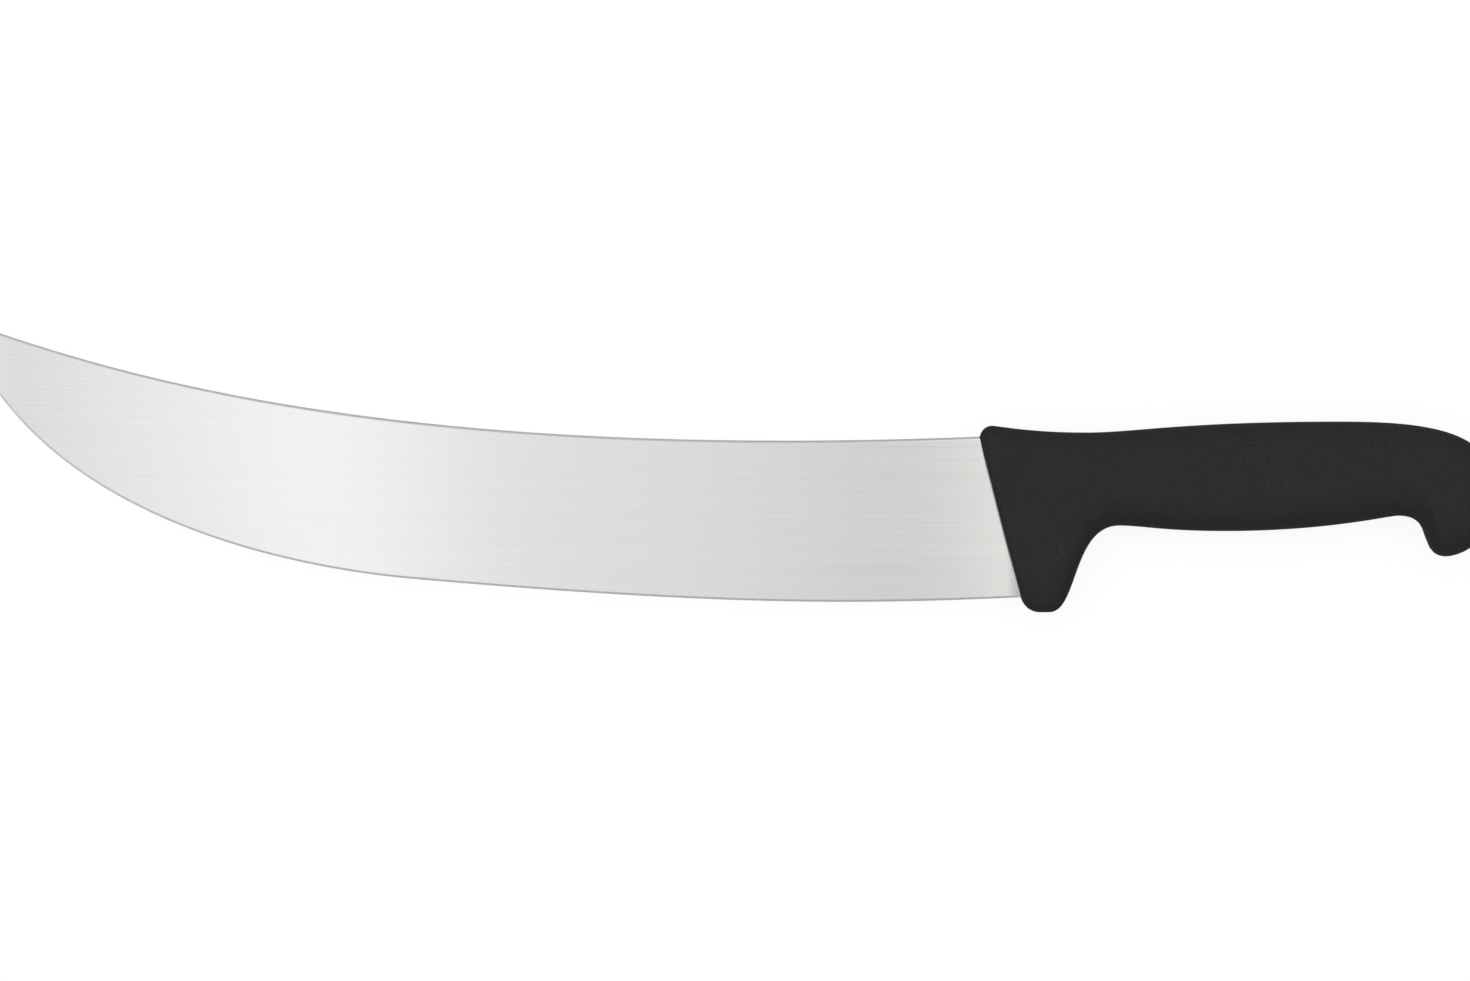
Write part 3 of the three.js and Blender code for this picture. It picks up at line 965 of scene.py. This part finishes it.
# %% The underside
GUARD_DROP = HEEL_HEIGHT + 4.4
GUARD_REACH, GUARD_RADIUS = 7.2, 5.6
GROOVE_AT, GROOVE_DROP = 41.0, 26.0
PALM_AT, PALM_DROP = 72.0, 27.6
NECK_AT, NECK_DROP = HANDLE_LENGTH - 28.7, 23.1
HOOK_AT, HOOK_DROP = HANDLE_LENGTH - 14.7, 35.0
GUARD_TO_GROOVE = (0.41, 0.68)
GROOVE_TO_PALM = (0.22, 0.6)
PALM_TO_NECK = (0.59, 0.05)
NECK_TO_HOOK = (0.84, 0.6)
HOOK_TO_BUTT = (0.26, 0.78)

underside_line = face_corner(-GUARD_DROP, GUARD_RADIUS, 3 * math.pi / 2)
underside_line.append(Vector((face_x(-GUARD_DROP) + GUARD_REACH, -GUARD_DROP)))
level_curve(underside_line, GROOVE_AT, -GROOVE_DROP, GUARD_TO_GROOVE)
level_curve(underside_line, PALM_AT, -PALM_DROP, GROOVE_TO_PALM)
level_curve(underside_line, NECK_AT, -NECK_DROP, PALM_TO_NECK)
level_curve(underside_line, HOOK_AT, -HOOK_DROP, NECK_TO_HOOK)
butt_curve(underside_line, HOOK_TO_BUTT)
print("Underside:", round(line_length(underside_line)), "mm")

# %% The width
FACE_WIDTH, PALM_WIDTH, NECK_WIDTH, HOOK_WIDTH = 14.4, 20.5, 19.4, 20.2
FACE_ROUND = 1.6
PALM_FLAT_FROM = 58.0
PALM_FLAT_TO = HANDLE_LENGTH - 48.0
EVEN_CURVE = (0.5, 0.5)

rim_centre = (FACE_ROUND, FACE_WIDTH / 2 - FACE_ROUND)
width_line = arc(rim_centre, FACE_ROUND, FACE_ROUND, math.pi, math.pi / 2)
level_curve(width_line, PALM_FLAT_FROM, PALM_WIDTH / 2, EVEN_CURVE)
width_line.append(Vector((PALM_FLAT_TO, PALM_WIDTH / 2)))
level_curve(width_line, NECK_AT, NECK_WIDTH / 2, EVEN_CURVE)
level_curve(width_line, HOOK_AT, HOOK_WIDTH / 2, EVEN_CURVE)
width_line += arc((HOOK_AT, 0), HANDLE_LENGTH - HOOK_AT, HOOK_WIDTH / 2, math.pi / 2, 0)[1:]
print("Half width:", round(line_length(width_line)), "mm")

# %% [markdown]
# ## Slices of the handle
# A slice has flat sides that close in a rounded back and a rounded underside. At the front its plane
# leans with the front face, and it turns upright before the palm, so the loops follow the guard.
# The same slices, drawn in by nearly the thickness of the skin, bound the room for the core.

# %% Helpers for slices of the handle
ARC_STEPS = 16


def smooth_step(value, low, high):
    """Goes from 0 to 1 between two values, level at both ends."""
    share = min(max((value - low) / (high - low), 0.0), 1.0)
    return share * share * (3 - 2 * share)


def drawn_in(line, distance):
    """A line moved to its left by a distance."""
    before = [line[0]] + line[:-1]
    after = line[1:] + [line[-1]]
    directions = [(ahead - behind).normalized() for behind, ahead in zip(before, after)]
    return [spot + Vector((-way.y, way.x)) * distance for spot, way in zip(line, directions)]


def height_at(line, station, lean):
    """Where a slice's plane, with its lean, meets an outline."""
    ahead = [spot.x + lean * spot.y - station for spot in line]
    after = next(step for step, gap in enumerate(ahead) if gap > 0)
    part = ahead[after - 1] / (ahead[after - 1] - ahead[after])
    return line[after - 1].lerp(line[after], part).y


def handle_half(top, bottom, half, top_round, bottom_round):
    """Half a slice as (height, half width) pairs, from the underside up to the back."""
    turns = [step / ARC_STEPS * math.pi / 2 for step in range(ARC_STEPS + 1)]
    under = [(bottom + bottom_round * (1 - math.cos(turn)), half * math.sin(turn)) for turn in turns]
    over = [(top - top_round * (1 - math.sin(turn)), half * math.cos(turn)) for turn in turns]
    return under + over


def mirrored_slice(half_slice, station, lean):
    """Both sides of a slice, as points of the scene."""
    far = [(y, -half) for y, half in reversed(half_slice[1:-1])]
    return [place(station - lean * y, y, z) for y, z in half_slice + far]


print("Slice helpers ready")

# %% Slices of the soft skin
SKIN_THICKNESS = 2.4
CORE_GAP = 0.3
ROOM_INSET = SKIN_THICKNESS - CORE_GAP
FRONT_ZONE_END = SKIN_THICKNESS + GUARD_RADIUS
TOP_ROUNDING, GRIP_ROUNDING, GUARD_ROUNDING = 10.0, 10.5, 14.0
MOST_ROUNDING = 0.475  # of a slice's height, so that a flat is left on its sides


def handle_form(inset):
    """Gives a slice of the handle at any station, drawn in from its surface by an inset."""
    back = drawn_in(back_line, -inset)
    underside = drawn_in(underside_line, inset)
    width = drawn_in(width_line, -inset)

    def slice_at(station):
        lean = (1 - smooth_step(station, FRONT_ZONE_END, PALM_FLAT_FROM)) * FACE_LEAN
        top = height_at(back, station, lean)
        bottom = height_at(underside, station, lean)
        half = height_at(width, station, 0.0)
        most = MOST_ROUNDING * (top - bottom)
        to_groove = smooth_step(station, GUARD_REACH, GROOVE_AT)
        under_rounding = GUARD_ROUNDING + (GRIP_ROUNDING - GUARD_ROUNDING) * to_groove
        top_round = min(TOP_ROUNDING - inset, most)
        bottom_round = min(under_rounding - inset, most)
        return handle_half(top, bottom, half, top_round, bottom_round), station, lean

    return slice_at


skin_form = handle_form(0.0)
room_form = handle_form(ROOM_INSET)
print("Corners in a slice of the handle:", len(mirrored_slice(*skin_form(PALM_FLAT_FROM))))

# %% [markdown]
# ## One chain of loops for the skin
# The skin is a hollow shell, open nowhere but at the slot for the blade. It grows as one chain: from the
# butt forward over the outside, across the front face to the rim of the slot, in through the slot, and
# back along the inside to the butt. So the wall needs no boolean and no second surface to join. The
# slices lie closer together where the form turns fast, at the front face and round the butt.

# %% Stations along the handle
SKIN_STATIONS = {"front": 16, "middle": 120, "rear": 22}
ROOM_STATIONS = {"front": 5, "middle": 40, "rear": 8}
END_MARGIN = 0.02  # slices stop this far short of a rounded end


def even(part):
    """Even steps."""
    return part


def slow_start(part):
    """Steps that start small, as the heights round a quarter circle do."""
    return 1 - math.cos(part * math.pi / 2)


def slow_end(part):
    """Steps that end small."""
    return math.sin(part * math.pi / 2)


def zone(start, end, count, pace):
    """Stations from the start of a zone up to, but not at, its end."""
    return [start + (end - start) * pace(step / count) for step in range(count)]


def stations(start, end, counts):
    """Stations from the front face to the butt, closer together round both ends."""
    front = zone(start, FRONT_ZONE_END, counts["front"], slow_start)
    middle = zone(FRONT_ZONE_END, HOOK_AT, counts["middle"], even)
    rear = zone(HOOK_AT, end, counts["rear"], slow_end)
    return front + middle + rear + [end]


room_start = ROOM_INSET * math.hypot(1, FACE_LEAN) + END_MARGIN
skin_stations = stations(END_MARGIN, HANDLE_LENGTH - END_MARGIN, SKIN_STATIONS)
room_stations = stations(room_start, HANDLE_LENGTH - ROOM_INSET - END_MARGIN, ROOM_STATIONS)
print("Stations:", len(skin_stations), "outside and", len(room_stations), "inside")

# %% The slot
SLOT_GAP = 0.04


def half_thickness(rise, half_slice):
    """Half the blade's thickness at a rise above its edge."""
    for (low, thin), (high, thick) in zip(half_slice, half_slice[1:]):
        if rise <= high:
            return thin + (thick - thin) * (rise - low) / (high - low)
    return half_slice[-1][1]


def slot_half(half_slice):
    """A slice of the handle, shrunk onto the blade with a hair of room all round."""
    bottom, top = half_slice[0][0], half_slice[-1][0]
    square_topped = blade_slice(HEEL_HEIGHT, 1.0)[:-ROUND_STEPS]
    rim = []
    for y, _ in half_slice:
        rise = (y - bottom) / (top - bottom) * (HEEL_HEIGHT + 2 * SLOT_GAP) - SLOT_GAP
        rim.append((rise - HEEL_HEIGHT, half_thickness(max(rise, 0.0), square_topped) + SLOT_GAP))
    rim[0] = (rim[0][0], 0.0)
    rim[-1] = (rim[-1][0], 0.0)
    return rim


slot_rim = slot_half(skin_form(END_MARGIN)[0])
print("Slot:", round(slot_rim[-1][0] - slot_rim[0][0], 2), "mm high")


# %% Grow the skin
def make_skin(material):
    """The hollow black skin of the handle."""
    outside = [mirrored_slice(*skin_form(station)) for station in reversed(skin_stations)]
    inside = [mirrored_slice(*room_form(station)) for station in room_stations]
    slot = [mirrored_slice(slot_rim, depth, FACE_LEAN) for depth in (END_MARGIN, room_start)]
    butt, room_end = [sum(points, Vector()) / len(points) for points in (outside[0], inside[-1])]
    bm = bmesh.new()
    loops = grow_loops(bm, outside + slot + inside)
    close_on_point(bm, loops[0], butt)
    close_on_point(bm, loops[-1], room_end)
    bmesh.ops.recalc_face_normals(bm, faces=bm.faces)
    smooth_but_for_edges(bm)
    return new_object("soft_black_skin", bm, material)


print("Skin is ready to grow")

# %% [markdown]
# ## Soft black skin
# The skin is a matt elastomer moulded in a finely eroded steel mould, which leaves a grain of about a
# third of a millimetre. Two noises make it: the fine grain in the bump and the tone, and a broad, faint
# mottle in the tone and the roughness. A low specular level keeps it dull, as rubber is.

# %% Moulded elastomer
GRAIN = (2800.0, 2800.0, 1.0)
SKIN_MOTTLE = (70.0, 70.0, 3.0)
GRAIN_SHARE = 0.85  # of grain, against mottle
RUBBER_TONES = (grey(0.028), grey(0.048))
RUBBER_ROUGHNESS = (0.72, 0.82)
RUBBER_GLOSS = 0.04
GRAIN_BUMP, GRAIN_DEPTH = 1.0, 0.25


def moulded_elastomer():
    """Matt black rubber with a moulded grain."""
    material, tree = new_material("moulded_elastomer")
    grain = stretched_noise(tree, *GRAIN)
    mottle = stretched_noise(tree, *SKIN_MOTTLE)
    give_surface(tree, {
        "Base Color": toned(tree, mixed(tree, GRAIN_SHARE, mottle, grain), *RUBBER_TONES),
        "Roughness": between(tree, mottle, *RUBBER_ROUGHNESS),
        "Specular IOR Level": RUBBER_GLOSS,
        "Normal": bumped(tree, grain, GRAIN_BUMP, GRAIN_DEPTH),
    })
    return material


skin = make_skin(moulded_elastomer())
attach(skin, "root")
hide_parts("handle_grip")
print("Skin:", len(skin.data.polygons), "faces")

# %% [markdown]
# ## The hard core
# The core hides under the skin, so its CAD solid stays and only gets its finish: a glass-filled polymer,
# dark grey with the pale flow marks that the fibres leave.

# %% Core polymer
FLOW_MARKS = (60.0, 420.0, 4.0)
POLYMER_TONES = (grey(0.045), grey(0.075))
POLYMER_ROUGHNESS = (0.45, 0.60)
FLOW_BUMP, FLOW_DEPTH = 0.15, 0.1


def glass_filled_polymer():
    """Hard dark grey polymer with flow marks."""
    material, tree = new_material("glass_filled_polymer")
    flow = stretched_noise(tree, *FLOW_MARKS)
    give_surface(tree, {
        "Base Color": toned(tree, flow, *POLYMER_TONES),
        "Roughness": between(tree, flow, *POLYMER_ROUGHNESS),
        "Normal": bumped(tree, flow, FLOW_BUMP, FLOW_DEPTH),
    })
    return material


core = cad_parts["handle_core"]
core.data.materials.clear()
core.data.materials.append(glass_filled_polymer())
print("Core:", core.name)
